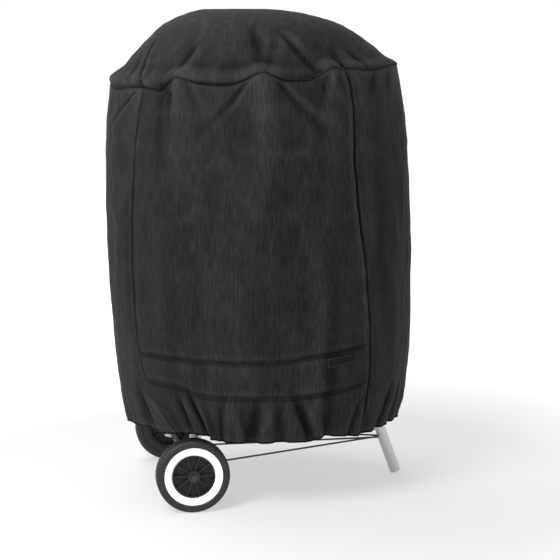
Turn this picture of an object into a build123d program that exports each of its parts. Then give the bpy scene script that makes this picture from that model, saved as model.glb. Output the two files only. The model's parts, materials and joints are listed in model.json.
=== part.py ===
"""Three-legged kettle grill under its fitted fabric cover.

The origin is on the floor under the middle of the kettle. +Z is up, +X points at the plain leg, and the
wheel axle runs along Y, with the front wheel on the -Y side.
"""
from math import cos, degrees, radians, sin
import os

from build123d import *

os.makedirs("parts", exist_ok=True)

# ---- driving dimensions, mm ----
RIM_HEIGHT = 735.0  # top of the bowl's rim above the floor
KETTLE_RADIUS = 281.0  # bowl's outer wall at the rim
BOWL_DEPTH = 250.0
LID_RISE = 218.0
STEEL = 1.5  # enamelled sheet of bowl and lid
LIP = 3.5  # how far the rim's flange stands out from the bowl
GAP = 0.3  # clearance between separate curved pieces
RUNNING = 0.05  # radial clearance of a shaft that turns

LEG_RADIUS = 12.0
LEG_WALL = 1.5
PLAIN_FOOT_OUT = 33.0  # plain leg's lower end outside the kettle's wall
PLAIN_TILT = 20.0  # degrees from upright
WHEEL_LEG_ANGLE = 133.0  # degrees round from the plain leg
WHEEL_LEG_INSET = 27.4  # wheel leg's axis at axle height, inside the kettle's wall
WHEEL_LEG_TILT = 14.5
LEG_BELOW_AXLE = 15.0
SOCKET_LENGTH = 62.0
SOCKET_WALL = 2.0

WHEEL_RADIUS = 76.0
WHEEL_WIDTH = 38.0
TYRE_SHOULDER = 7.0  # width of the tread's rounded edges
TYRE_CROWN = 2.0  # how far the round of the edge stays inside the tread
SIDE_BEVEL = 1.5
RING_OUTER = 60.4
RING_INNER = 45.0
RING_DEPTH = 10.0  # the white ring lies in the outer face only
HUB_RIM = 3.0
HUB_RIM_SET = 4.0  # hub's rim inside each face of the tyre
RIB_SHEET = 2.6
RIB_SET = 8.0
HUB_BARREL_RADIUS = 13.0
HUB_OVERHANG = 2.0  # hub's barrel beyond each face of the tyre
WHEEL_GAP = 0.6  # between a wheel leg and its hub's barrel
HUB_WEB = 5.0
HUB_RIBS = 10
TREAD_GROOVES = 60
TREAD_DEPTH = 1.6
TREAD_SLOT = 2.4
TREAD_LAND = 5.0  # plain tread beside the grooves
AXLE_RADIUS = 4.0
CAP_RADIUS = 6.5
CAP_LENGTH = 7.0
END_PLAY = 0.4  # wheel's axial play on each side

RACK_WIRE = 2.0  # wire radius
WELD_LAP = 1.0  # how far two crossing wires are sunk into each other
END_TRIM = 0.7  # wire's end short of the middle of the wire it is welded to

GRATE_WIRE = 3.0
GRATE_PITCH = 22.0
GRATE_DROP = 40.0  # cooking grate below the rim
CHARCOAL_DROP = 155.0  # charcoal grate below the rim
CHARCOAL_PITCH = 26.0
TAB_WIDTH = 20.0
TAB_SHEET = 2.5
GRATE_EASE = 6.0  # cooking grate inside the bowl
CHARCOAL_EASE = 3.3

PAN_DROP = 125.0  # pan's rim below the bowl
PAN_INSET = 123.0  # pan's rim inside the kettle's wall, clear of the legs
PAN_DEPTH = 22.0
PAN_SHEET = 1.2
PAN_FLANGE = 8.0
PAN_SLOPE = 16.0  # how far the pan's wall leans in
CLIP_WIDTH = 14.0
CLIP_SHEET = 4.0
CLIP_WALL = 5.0
CLIP_LAP = 6.0  # how far a clip reaches under the pan's flange

DAMPER_RADIUS = 36.0
DAMPER_REACH = 125.0  # damper's centre from the lid's axis
DAMPER_ANGLE = 60.0
DAMPER_SHEET = 1.5
VENT_RADIUS = 8.0
VENT_CIRCLE = 20.0
VENTS = 4
DAMPER_LIFT = 0.4  # damper above the lid's tangent plane
TAB_RISE = 14.0
RIVET_RADIUS = 3.0
RIVET_HEAD = 2.5
RIVET_EASE = 0.2

SWEEP_SHAFT = 5.0  # radius
SWEEP_BLADES = 3
SWEEP_BLADE_WIDTH = 24.0
SWEEP_REACH = 120.0
SWEEP_SHEET = 2.0
SWEEP_HUB = 22.0  # radius
SWEEP_EASE = 0.8  # blades inside the bowl's wall
ASH_SLOT_REACH = 48.0
ASH_SLOT_LENGTH = 46.0
ASH_SLOT_WIDTH = 15.0
LEVER_LENGTH = 190.0
LEVER_WIDTH = 16.0
LEVER_SHEET = 4.0
LEVER_ANGLE = -90.0
LEVER_DROP = 14.0  # lever's top below the bowl
LEVER_EYE = 14.0  # radius
WASHER_RADIUS = 16.0
WASHER_SHEET = 2.0

HANDLE_LENGTH = 130.0
HANDLE_RADIUS = 13.0
HANDLE_STAND = 69.8  # top of the grip above the lid
BRACKET_SHEET = 3.0
BRACKET_WIDTH = 22.0
BRACKET_SPAN = 96.0
HANDLE_TURN = 30.0  # degrees from +X
HANDLE_ROUND = 8.0
BRACKET_FOOT = 8.0  # the strap's legs stand this far outside the span
BRACKET_BEND = 14.0  # drop of the strap's slanted corners
SCREW_RADIUS = 3.0
SCREW_GRIP = 13.0  # screw's length in the grip
SCREW_HEAD = 3.5

CLOTH = 2.4  # thickness of a cover wall
TAPE = 0.8
TAPE_WIDTH = 24.0
CROWN_SEAM_RISE = 150.0  # crown seam above the kettle's rim
CROWN_SEAT = 5.2  # cover's top above the grip
HEM_CLEARANCE = 6.0  # hem above the wheels
BAND_TOP = 330.0
BAND_BOTTOM = 264.0
CASING_HEIGHT = 20.0
CASING_DEPTH = 6.5
CASING_WALL = 1.0
ELASTIC_HEIGHT = 10.0
ELASTIC_DEPTH = 2.0
FRONT_ANGLE = -108.7  # middle of the front panel
LABEL_WIDTH = 62.0
LABEL_HEIGHT = 24.0
LABEL_SHEET = 0.8
LABEL_TURN = 31.0  # label's middle, degrees on from the front panel's middle
LABEL_CENTRE = 308.0
# the cover's side: how far it stands out from the kettle's rim at each share of its height
SIDE_SHAPE = [
    (12.5, 0.0),
    (24.5, 0.058),
    (36.5, 0.168),
    (43.5, 0.305),
    (48.0, 0.567),
    (41.5, 0.787),
    (22.5, 1.0),
]
# the crown: share of the seam's radius at each share of the crown's rise
CROWN_SHAPE = [
    (1.0, 0.0),
    (0.938, 0.224),
    (0.798, 0.531),
    (0.586, 0.797),
    (0.358, 0.937),
    (0.163, 0.993),
    (0.0, 1.0),
]

# ---- worked out from the above ----
AXLE_HEIGHT = WHEEL_RADIUS
PLAIN_FOOT_REACH = KETTLE_RADIUS + PLAIN_FOOT_OUT
WHEEL_LEG_REACH = KETTLE_RADIUS - WHEEL_LEG_INSET
PAN_RADIUS = KETTLE_RADIUS - PAN_INSET
BOWL_BOTTOM = RIM_HEIGHT - BOWL_DEPTH
RIM_RADIUS = KETTLE_RADIUS + LIP
LID_SEAT = RIM_HEIGHT  # the lid stands on the bowl's flange
LID_TOP = LID_SEAT + LID_RISE
HANDLE_TOP = LID_TOP + HANDLE_STAND
AXLE_X = WHEEL_LEG_REACH * cos(radians(WHEEL_LEG_ANGLE))
HUB_BARREL_WIDTH = WHEEL_WIDTH + 2 * HUB_OVERHANG
leg_foot_reach = WHEEL_LEG_REACH + LEG_BELOW_AXLE * sin(radians(WHEEL_LEG_TILT))
leg_outside = leg_foot_reach * sin(radians(WHEEL_LEG_ANGLE)) + LEG_RADIUS
WHEEL_CENTRE_Y = leg_outside + WHEEL_GAP + HUB_BARREL_WIDTH / 2
COVER_HEM = 2 * WHEEL_RADIUS + HEM_CLEARANCE
CROWN_SEAM = RIM_HEIGHT + CROWN_SEAM_RISE
CROWN_RISE = HANDLE_TOP + CROWN_SEAT - CROWN_SEAM
SEAM_RADIUS = RIM_RADIUS + SIDE_SHAPE[-1][0]
SIDE_OUTLINE = [
    (RIM_RADIUS + ease, COVER_HEM + share * (CROWN_SEAM - COVER_HEM)) for ease, share in SIDE_SHAPE
]
CROWN_OUTLINE = [
    (SEAM_RADIUS * across, CROWN_SEAM + CROWN_RISE * share) for across, share in CROWN_SHAPE
]
BAR_HEIGHT = AXLE_HEIGHT + AXLE_RADIUS + GAP + RACK_WIRE  # middle bar lies over the axle
RACK_HEIGHT = BAR_HEIGHT + 2 * RACK_WIRE - WELD_LAP  # triangle is welded on top of the bar
GRATE_HEIGHT = RIM_HEIGHT - GRATE_DROP
CHARCOAL_HEIGHT = RIM_HEIGHT - CHARCOAL_DROP
PAN_HEIGHT = BOWL_BOTTOM - PAN_DROP


def bowl_radius(height, inset=0.0):
    """Radius of the bowl's wall at a height, inset from its outer face."""
    across = KETTLE_RADIUS - inset
    down = BOWL_DEPTH - inset
    return across * (1.0 - ((RIM_HEIGHT - height) / down) ** 2) ** 0.5


def bowl_bottom_at(radius, inset=0.0):
    """Height of the bowl's wall at a radius, inset from its outer face."""
    across = KETTLE_RADIUS - inset
    down = BOWL_DEPTH - inset
    return RIM_HEIGHT - down * (1.0 - (radius / across) ** 2) ** 0.5


def lid_height_at(radius):
    """Height of the lid's outer face at a radius."""
    return LID_SEAT + LID_RISE * (1.0 - (radius / KETTLE_RADIUS) ** 2) ** 0.5


def kettle_half(rise, inset):
    """Solid half ellipsoid of the bowl (rise below 0) or the lid (rise above 0), in local height."""
    across = KETTLE_RADIUS - inset
    high = abs(rise) - inset
    sign = 1 if rise > 0 else -1
    with BuildPart(mode=Mode.PRIVATE) as half:
        with BuildSketch(Plane.XZ):
            with BuildLine():
                EllipticalCenterArc((0, 0), across, high, start_angle=0, arc_size=90)
                Line((0, high), (0, 0))
                Line((0, 0), (across, 0))
            make_face()
        revolve(axis=Axis.Z)
    solid = half.part if sign > 0 else half.part.mirror(Plane.XY)
    return solid.moved(Location((0, 0, RIM_HEIGHT)))


def side_outline(inset):
    """The side's outline moved in towards the axis."""
    return [(radius - inset, height) for radius, height in SIDE_OUTLINE]


def crown_outline(inset):
    """The crown's outline moved inwards: square at its seam and straight down on the axis."""
    seam = CROWN_OUTLINE[0]
    top = CROWN_OUTLINE[-1]
    moved = [(seam[0] - inset, seam[1])]
    for radius, height in CROWN_OUTLINE[1:-1]:
        moved.append((radius - inset * radius / seam[0], height - inset))
    moved.append((0.0, top[1] - inset))
    return moved


def wall_sketch(outer_inset, inner_inset):
    """Cross-section of a layer of the cover's side between two insets from its outer face."""
    outer = side_outline(outer_inset)
    inner = side_outline(inner_inset)
    with BuildSketch(Plane.XZ, mode=Mode.PRIVATE) as section:
        with BuildLine():
            Spline(*outer)
            Spline(*inner)
            Line(outer[0], inner[0])
            Line(outer[-1], inner[-1])
        make_face()
    return section.sketch


def slab(low, high, reach=400.0):
    """A wide flat cylinder used to cut a layer of the cover to a range of heights."""
    with BuildPart(mode=Mode.PRIVATE) as made:
        with BuildSketch(Plane.XY.offset(low)):
            Circle(reach)
        extrude(amount=high - low)
    return made.part


def save(made, name):
    """Label one finished piece and write it."""
    made.part.label = name
    export_step(made.part, "parts/" + name + ".step")


def leg_plane(angle, reach, height, tilt):
    """Plane across a leg's tube where its axis has this reach and height, facing up along the leg."""
    outward = Vector(cos(radians(angle)), sin(radians(angle)), 0)
    up = outward * -sin(radians(tilt)) + Vector(0, 0, cos(radians(tilt)))
    across = Vector(-outward.Y, outward.X, 0)
    place = outward * reach + Vector(0, 0, height)
    return Plane(origin=place, x_dir=across, z_dir=up)


# ---- legs: one plane at each leg's lower end ----
plain_low = LEG_RADIUS * sin(radians(PLAIN_TILT))
wheel_end = LEG_BELOW_AXLE * cos(radians(WHEEL_LEG_TILT))
LEG_PLANES = {
    "plain_leg": leg_plane(0.0, PLAIN_FOOT_REACH, plain_low, PLAIN_TILT),
}
for leg_name, leg_side in (("wheel_leg_front", -1), ("wheel_leg_back", 1)):
    LEG_PLANES[leg_name] = leg_plane(
        leg_side * WHEEL_LEG_ANGLE,
        leg_foot_reach,
        AXLE_HEIGHT - wheel_end,
        WHEEL_LEG_TILT,
    )
bowl_outside = kettle_half(-BOWL_DEPTH, -GAP)
LEG_RUN = 700.0  # longer than any leg before the bowl cuts it


def rod(start, end, radius, trim=0.0):
    """A straight round rod between two points, with each end shortened by the trim."""
    start = Vector(*start)
    end = Vector(*end)
    along = (end - start).normalized() * trim
    start = start + along
    end = end - along
    with BuildPart(mode=Mode.PRIVATE) as made:
        with BuildSketch(Plane(origin=start, z_dir=end - start)):
            Circle(radius)
        extrude(amount=(end - start).length)
    return made.part


axle_half = WHEEL_CENTRE_Y + HUB_BARREL_WIDTH / 2 + END_PLAY + CAP_LENGTH - 1.0
axle_hole = rod(
    (AXLE_X, -axle_half, AXLE_HEIGHT),
    (AXLE_X, axle_half, AXLE_HEIGHT),
    AXLE_RADIUS + GAP / 2,
)

# rack wires: a triangle between the legs and a middle bar over the axle
rack_ends = {}
for leg_name, plane in LEG_PLANES.items():
    climb = (RACK_HEIGHT - plane.origin.Z) / plane.z_dir.Z
    point = plane.origin + plane.z_dir * climb
    rack_ends[leg_name] = (point.X, point.Y, RACK_HEIGHT)
rack_pairs = [
    ("wheel_leg_front", "plain_leg"),
    ("wheel_leg_back", "plain_leg"),
    ("wheel_leg_front", "wheel_leg_back"),
]
rack_rods = []
for index, (a, b) in enumerate(rack_pairs):
    rack_rods.append(rod(rack_ends[a], rack_ends[b], RACK_WIRE, index * END_TRIM))
rack_holes = [rod(rack_ends[a], rack_ends[b], RACK_WIRE + GAP / 2) for a, b in rack_pairs]
middle_start = (AXLE_X - AXLE_RADIUS - 2 * RACK_WIRE, 0, BAR_HEIGHT)
middle_end = (rack_ends["plain_leg"][0] - 3 * RACK_WIRE / 2, 0, BAR_HEIGHT)
middle_bar = rod(middle_start, middle_end, RACK_WIRE)
middle_hole = rod(middle_start, middle_end, RACK_WIRE + GAP / 2)

for leg_name, plane in LEG_PLANES.items():
    with BuildPart() as leg:
        with BuildSketch(plane):
            Circle(LEG_RADIUS)
            Circle(LEG_RADIUS - LEG_WALL, mode=Mode.SUBTRACT)
        extrude(amount=LEG_RUN)
        add(bowl_outside, mode=Mode.SUBTRACT)
        add(slab(RIM_HEIGHT - 1, RIM_HEIGHT + 100, 900), mode=Mode.SUBTRACT)
        add(axle_hole, mode=Mode.SUBTRACT)
        for hole in rack_holes + [middle_hole]:
            add(hole, mode=Mode.SUBTRACT)
    if len(leg.part.solids()) > 1:
        kept = leg.part.solids().sort_by(Axis.Z)[0]
        with BuildPart() as leg:
            add(kept)
    save(leg, leg_name)

with BuildPart() as leg_sockets:
    for leg_name, plane in LEG_PLANES.items():
        bowl_meet = 0.0
        while True:
            point = plane.origin + plane.z_dir * bowl_meet
            reach = (point.X**2 + point.Y**2) ** 0.5
            if point.Z > bowl_bottom_at(min(reach, KETTLE_RADIUS)):
                break
            bowl_meet += 1.0
        with BuildSketch(plane.offset(bowl_meet - SOCKET_LENGTH)):
            Circle(LEG_RADIUS + GAP + SOCKET_WALL)
            Circle(LEG_RADIUS + GAP, mode=Mode.SUBTRACT)
        extrude(amount=SOCKET_LENGTH + 2 * LEG_RADIUS)
    add(bowl_outside, mode=Mode.SUBTRACT)
save(leg_sockets, "leg_sockets")

with BuildPart() as leg_rack:
    add(rack_rods[0])
    add(rack_rods[1:] + [middle_bar])
save(leg_rack, "leg_rack")

with BuildPart() as axle:
    with BuildSketch(Plane(origin=(AXLE_X, -axle_half, AXLE_HEIGHT), z_dir=(0, 1, 0))):
        Circle(AXLE_RADIUS)
    extrude(amount=2 * axle_half)
    chamfer(axle.edges().filter_by(GeomType.CIRCLE), length=0.8)
save(axle, "axle")

with BuildPart() as axle_caps:
    for side in (-1, 1):
        face_y = side * (WHEEL_CENTRE_Y + HUB_BARREL_WIDTH / 2 + END_PLAY)
        with BuildSketch(Plane(origin=(AXLE_X, face_y, AXLE_HEIGHT), z_dir=(0, side, 0))):
            Circle(CAP_RADIUS)
        extrude(amount=CAP_LENGTH)
        with BuildSketch(Plane(origin=(AXLE_X, face_y, AXLE_HEIGHT), z_dir=(0, side, 0))):
            Circle(AXLE_RADIUS + RUNNING)
        extrude(amount=CAP_LENGTH - 1.0 + RUNNING, mode=Mode.SUBTRACT)
save(axle_caps, "axle_caps")

# ---- wheels: tyre, white ring and hub, each turned about the axle ----
for wheel_name, side in (("front", -1), ("back", 1)):
    wheel_plane = Plane(
        origin=(AXLE_X, side * WHEEL_CENTRE_Y, AXLE_HEIGHT),
        x_dir=(1, 0, 0),
        z_dir=(0, -1, 0),
    )
    half = WHEEL_WIDTH / 2
    shoulder = WHEEL_RADIUS - TYRE_SHOULDER
    crown = WHEEL_RADIUS - TYRE_CROWN
    edge = half - TYRE_SHOULDER
    bevel = half - SIDE_BEVEL
    ring_seat = half - RING_DEPTH
    spin_axis = Axis(wheel_plane.origin, (0, 1, 0))
    # sections are drawn with the wheel's outer face on +Y, and turned over for the front wheel
    section = Plane(origin=wheel_plane.origin, x_dir=(1, 0, 0), z_dir=(0, 0, side))

    with BuildPart() as tyre:
        with BuildSketch(section):
            with BuildLine():
                Polyline(
                    (shoulder, half),
                    (RING_OUTER + 2 * SIDE_BEVEL, half),
                    (RING_OUTER, bevel),
                    (RING_OUTER, ring_seat),
                    (RING_INNER, ring_seat),
                    (RING_INNER, -bevel + SIDE_BEVEL),
                    (RING_INNER + 2 * SIDE_BEVEL, -bevel),
                    (RING_OUTER, -bevel),
                    (RING_OUTER + 2 * SIDE_BEVEL, -half),
                    (shoulder, -half),
                )
                ThreePointArc((shoulder, -half), (crown, -half + 2.4), (WHEEL_RADIUS, -edge))
                Line((WHEEL_RADIUS, -edge), (WHEEL_RADIUS, edge))
                ThreePointArc((WHEEL_RADIUS, edge), (crown, half - 2.4), (shoulder, half))
            make_face()
        revolve(axis=spin_axis)
        with BuildSketch(wheel_plane.offset(half - TREAD_LAND)):
            with PolarLocations(WHEEL_RADIUS, TREAD_GROOVES, start_angle=3):
                Rectangle(2 * TREAD_DEPTH, TREAD_SLOT)
        extrude(amount=-(WHEEL_WIDTH - 2 * TREAD_LAND), mode=Mode.SUBTRACT)
    save(tyre, "tyre_" + wheel_name)

    with BuildPart() as white_ring:
        with BuildSketch(section):
            with BuildLine():
                Polyline(
                    (RING_INNER, ring_seat),
                    (RING_INNER, bevel - SIDE_BEVEL),
                    (RING_INNER + 2 * SIDE_BEVEL, bevel),
                    (RING_OUTER, bevel),
                    (RING_OUTER, ring_seat),
                    close=True,
                )
            make_face()
        revolve(axis=spin_axis)
    save(white_ring, "white_ring_" + wheel_name)

    with BuildPart() as hub:
        with BuildSketch(wheel_plane.offset(-HUB_WEB / 2)):
            Circle(RING_INNER)
        extrude(amount=HUB_WEB)
        with BuildSketch(wheel_plane.offset(-half + HUB_RIM_SET)):
            Circle(RING_INNER)
            Circle(RING_INNER - HUB_RIM, mode=Mode.SUBTRACT)
        extrude(amount=WHEEL_WIDTH - 2 * HUB_RIM_SET)
        with BuildSketch(wheel_plane.offset(-HUB_BARREL_WIDTH / 2)):
            Circle(HUB_BARREL_RADIUS)
        extrude(amount=HUB_BARREL_WIDTH)
        rib_length = RING_INNER - HUB_BARREL_RADIUS
        with BuildSketch(wheel_plane.offset(-half + RIB_SET)):
            with PolarLocations(HUB_BARREL_RADIUS + rib_length / 2 - 1, HUB_RIBS):
                Rectangle(rib_length, RIB_SHEET)
        extrude(amount=WHEEL_WIDTH - 2 * RIB_SET)
        with BuildSketch(wheel_plane.offset(-HUB_BARREL_WIDTH / 2)):
            Circle(AXLE_RADIUS + RUNNING)
        extrude(amount=HUB_BARREL_WIDTH, mode=Mode.SUBTRACT)
    save(hub, "hub_" + wheel_name)

# ---- kettle bowl and lid ----
with BuildPart() as bowl:
    add(kettle_half(-BOWL_DEPTH, 0))
    with BuildSketch(Plane.XY.offset(RIM_HEIGHT)):
        Circle(RIM_RADIUS)
    extrude(amount=-STEEL)
    add(kettle_half(-BOWL_DEPTH, STEEL), mode=Mode.SUBTRACT)
    with BuildSketch(Plane.XY.offset(BOWL_BOTTOM - 5)):
        Circle(SWEEP_SHAFT + RUNNING)
        with PolarLocations(ASH_SLOT_REACH, SWEEP_BLADES, start_angle=-30):
            SlotOverall(ASH_SLOT_LENGTH, ASH_SLOT_WIDTH, rotation=90)
    extrude(amount=60, mode=Mode.SUBTRACT)
save(bowl, "bowl")

damper_height = lid_height_at(DAMPER_REACH)
lid_slope = (
    -LID_RISE * DAMPER_REACH / KETTLE_RADIUS**2 / (1 - (DAMPER_REACH / KETTLE_RADIUS) ** 2) ** 0.5
)
damper_out = Vector(cos(radians(DAMPER_ANGLE)), sin(radians(DAMPER_ANGLE)), 0)
damper_plane = Plane(
    origin=damper_out * DAMPER_REACH + Vector(0, 0, damper_height),
    x_dir=(-damper_out.Y, damper_out.X, 0),
    z_dir=damper_out * -lid_slope + Vector(0, 0, 1),
)
handle_plane = Plane(
    origin=(0, 0, 0), x_dir=(cos(radians(HANDLE_TURN)), sin(radians(HANDLE_TURN)), 0), z_dir=(0, 0, 1)
)

with BuildPart() as lid:
    add(kettle_half(LID_RISE, 0))
    with BuildSketch(Plane.XY.offset(LID_SEAT)):
        Circle(RIM_RADIUS)
    extrude(amount=STEEL)
    add(kettle_half(LID_RISE, STEEL), mode=Mode.SUBTRACT)
    with BuildSketch(damper_plane.offset(-20)):
        Circle(RIVET_RADIUS + RUNNING)
        with PolarLocations(VENT_CIRCLE, VENTS):
            Circle(VENT_RADIUS)
    extrude(amount=40, mode=Mode.SUBTRACT)
save(lid, "lid")

with BuildPart() as lid_damper:
    with BuildSketch(damper_plane.offset(DAMPER_LIFT)):
        Circle(DAMPER_RADIUS)
        Circle(RIVET_RADIUS + RUNNING, mode=Mode.SUBTRACT)
        with PolarLocations(VENT_CIRCLE, VENTS):
            Circle(VENT_RADIUS, mode=Mode.SUBTRACT)
    extrude(amount=DAMPER_SHEET)
    with BuildSketch(damper_plane.offset(DAMPER_LIFT)):
        with Locations((0, -DAMPER_RADIUS + 3)):
            Rectangle(16, DAMPER_SHEET)
    extrude(amount=TAB_RISE)
save(lid_damper, "lid_damper")

with BuildPart() as damper_rivet:
    with BuildSketch(damper_plane.offset(-STEEL - 4)):
        Circle(RIVET_RADIUS)
    extrude(amount=STEEL + 4 + DAMPER_LIFT + DAMPER_SHEET + RIVET_EASE)
    with BuildSketch(damper_plane.offset(DAMPER_LIFT + DAMPER_SHEET + RIVET_EASE)):
        Circle(2 * RIVET_RADIUS)
    extrude(amount=RIVET_HEAD)
    with BuildSketch(damper_plane.offset(-STEEL - RIVET_EASE)):
        Circle(2 * RIVET_RADIUS)
    extrude(amount=-2.0)
save(damper_rivet, "damper_rivet")

# bracket: a bent strap with a foot on the lid at each end and a flat top under the grip
grip_axis_height = HANDLE_TOP - HANDLE_RADIUS
strap_top = HANDLE_TOP - 2 * HANDLE_RADIUS
strap_low = LID_SEAT + LID_RISE / 2
strap_out = BRACKET_SPAN / 2 + BRACKET_FOOT
strap_in = strap_out - BRACKET_SHEET
strap_corner = strap_out - BRACKET_BEND
with BuildPart() as handle_bracket:
    with BuildSketch(Plane(origin=(0, 0, 0), x_dir=handle_plane.x_dir, z_dir=handle_plane.y_dir * -1)):
        with BuildLine():
            Polyline(
                (-strap_out, strap_low),
                (-strap_out, strap_top - BRACKET_BEND),
                (-strap_corner, strap_top),
                (strap_corner, strap_top),
                (strap_out, strap_top - BRACKET_BEND),
                (strap_out, strap_low),
                (strap_in, strap_low),
                (strap_in, strap_top - BRACKET_BEND - BRACKET_SHEET / 2),
                (strap_corner - 1, strap_top - BRACKET_SHEET),
                (1 - strap_corner, strap_top - BRACKET_SHEET),
                (-strap_in, strap_top - BRACKET_BEND - BRACKET_SHEET / 2),
                (-strap_in, strap_low),
                close=True,
            )
        make_face()
    extrude(amount=BRACKET_WIDTH / 2, both=True)
    add(kettle_half(LID_RISE, -GAP), mode=Mode.SUBTRACT)
    with BuildSketch(handle_plane.offset(strap_top - 10)):
        with Locations((-BRACKET_SPAN / 4, 0), (BRACKET_SPAN / 4, 0)):
            Circle(SCREW_RADIUS + RUNNING)
    extrude(amount=20, mode=Mode.SUBTRACT)
save(handle_bracket, "handle_bracket")

with BuildPart() as lid_handle:
    with BuildSketch(
        Plane(
            origin=handle_plane.x_dir * (-HANDLE_LENGTH / 2) + Vector(0, 0, grip_axis_height),
            x_dir=(0, 0, 1),
            z_dir=handle_plane.x_dir,
        )
    ):
        Rectangle(2 * HANDLE_RADIUS, 2 * HANDLE_RADIUS + 4)
    extrude(amount=HANDLE_LENGTH)
    fillet(lid_handle.edges().filter_by(lambda edge: edge.length > HANDLE_LENGTH - 1), radius=HANDLE_ROUND)
    with BuildSketch(handle_plane.offset(strap_top - 1)):
        with Locations((-BRACKET_SPAN / 4, 0), (BRACKET_SPAN / 4, 0)):
            Circle(SCREW_RADIUS + RUNNING)
    extrude(amount=SCREW_GRIP + 2 + RUNNING, mode=Mode.SUBTRACT)
save(lid_handle, "lid_handle")

with BuildPart() as handle_screws:
    with BuildSketch(handle_plane.offset(strap_top - BRACKET_SHEET)):
        with Locations((-BRACKET_SPAN / 4, 0), (BRACKET_SPAN / 4, 0)):
            Circle(SCREW_RADIUS)
    extrude(amount=BRACKET_SHEET + SCREW_GRIP)
    with BuildSketch(handle_plane.offset(strap_top - BRACKET_SHEET)):
        with Locations((-BRACKET_SPAN / 4, 0), (BRACKET_SPAN / 4, 0)):
            Circle(2 * SCREW_RADIUS)
    extrude(amount=-SCREW_HEAD)
save(handle_screws, "handle_screws")


# ---- grates ----
def grate(height, reach, pitch):
    """A round wire grate: a ring, parallel rods and two cross rods under them."""
    count = int(reach / pitch - 0.5)
    with BuildPart(mode=Mode.PRIVATE) as made:
        with BuildSketch(Plane.XZ):
            with Locations((reach, height)):
                Circle(GRATE_WIRE)
        revolve(axis=Axis.Z)
        rods = []
        for index in range(-count, count):
            offset = (index + 0.5) * pitch
            chord = (reach**2 - offset**2) ** 0.5 - END_TRIM
            rods.append(rod((-chord, offset, height), (chord, offset, height), GRATE_WIRE))
        under = height - 2 * GRATE_WIRE + WELD_LAP
        for side in (-1, 1):
            offset = side * (reach / 2 + WELD_LAP)
            chord = (reach**2 - offset**2) ** 0.5 - END_TRIM - WELD_LAP
            rods.append(rod((offset, -chord, under), (offset, chord, under), GRATE_WIRE))
        add(rods)
    return made.part


grate_reach = bowl_radius(GRATE_HEIGHT, STEEL) - GRATE_WIRE - GRATE_EASE
charcoal_reach = bowl_radius(CHARCOAL_HEIGHT, STEEL) - GRATE_WIRE - CHARCOAL_EASE
with BuildPart() as cooking_grate:
    add(grate(GRATE_HEIGHT, grate_reach, GRATE_PITCH))
save(cooking_grate, "cooking_grate")

with BuildPart() as charcoal_grate:
    add(grate(CHARCOAL_HEIGHT, charcoal_reach, CHARCOAL_PITCH))
save(charcoal_grate, "charcoal_grate")

bowl_inside = kettle_half(-BOWL_DEPTH, STEEL + GAP)
with BuildPart() as grate_tabs:
    for seat_height, reach in ((GRATE_HEIGHT, grate_reach), (CHARCOAL_HEIGHT, charcoal_reach)):
        seat = seat_height - GRATE_WIRE - GAP
        for turn in (45, 135, 225, 315):
            tab_plane = Plane(
                origin=(0, 0, seat), x_dir=(cos(radians(turn)), sin(radians(turn)), 0), z_dir=(0, 0, -1)
            )
            with BuildSketch(tab_plane):
                with Locations((reach + 10, 0)):
                    Rectangle(40, TAB_WIDTH)
            extrude(amount=TAB_SHEET)
    add(bowl_inside, mode=Mode.INTERSECT)
save(grate_tabs, "grate_tabs")

# ---- ash sweep: curved blades just inside the bowl, a shaft through it and a lever below ----
lever_top = BOWL_BOTTOM - LEVER_DROP
sweep_inset = STEEL + SWEEP_EASE
with BuildPart() as ash_sweep:
    with BuildSketch(Plane.XY.offset(BOWL_BOTTOM - 2)):
        Circle(SWEEP_HUB)
        for blade in range(SWEEP_BLADES):
            with PolarLocations(SWEEP_REACH / 2, 1, start_angle=blade * 360 / SWEEP_BLADES + 30):
                Rectangle(SWEEP_REACH, SWEEP_BLADE_WIDTH)
    extrude(amount=60)
    add(kettle_half(-BOWL_DEPTH, sweep_inset), mode=Mode.INTERSECT)
    add(kettle_half(-BOWL_DEPTH, sweep_inset + SWEEP_SHEET), mode=Mode.SUBTRACT)
    with BuildSketch(Plane.XY.offset(lever_top - LEVER_SHEET)):
        Circle(SWEEP_SHAFT)
    extrude(amount=LEVER_DROP + LEVER_SHEET + STEEL + SWEEP_SHEET + 1)
save(ash_sweep, "ash_sweep")

lever_out = (cos(radians(LEVER_ANGLE)), sin(radians(LEVER_ANGLE)), 0)
lever_plane = Plane(origin=(0, 0, lever_top), x_dir=lever_out, z_dir=(0, 0, -1))
with BuildPart() as sweep_lever:
    with BuildSketch(lever_plane):
        with Locations((LEVER_LENGTH / 2 - 10, 0)):
            SlotOverall(LEVER_LENGTH, LEVER_WIDTH)
        Circle(LEVER_EYE)
        Circle(SWEEP_SHAFT + RUNNING, mode=Mode.SUBTRACT)
    extrude(amount=LEVER_SHEET)
save(sweep_lever, "sweep_lever")

washer_top = BOWL_BOTTOM - GAP
with BuildPart() as sweep_washer:
    with BuildSketch(Plane.XY.offset(washer_top)):
        Circle(WASHER_RADIUS)
        Circle(SWEEP_SHAFT + RUNNING, mode=Mode.SUBTRACT)
    extrude(amount=-WASHER_SHEET)
save(sweep_washer, "sweep_washer")

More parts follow.
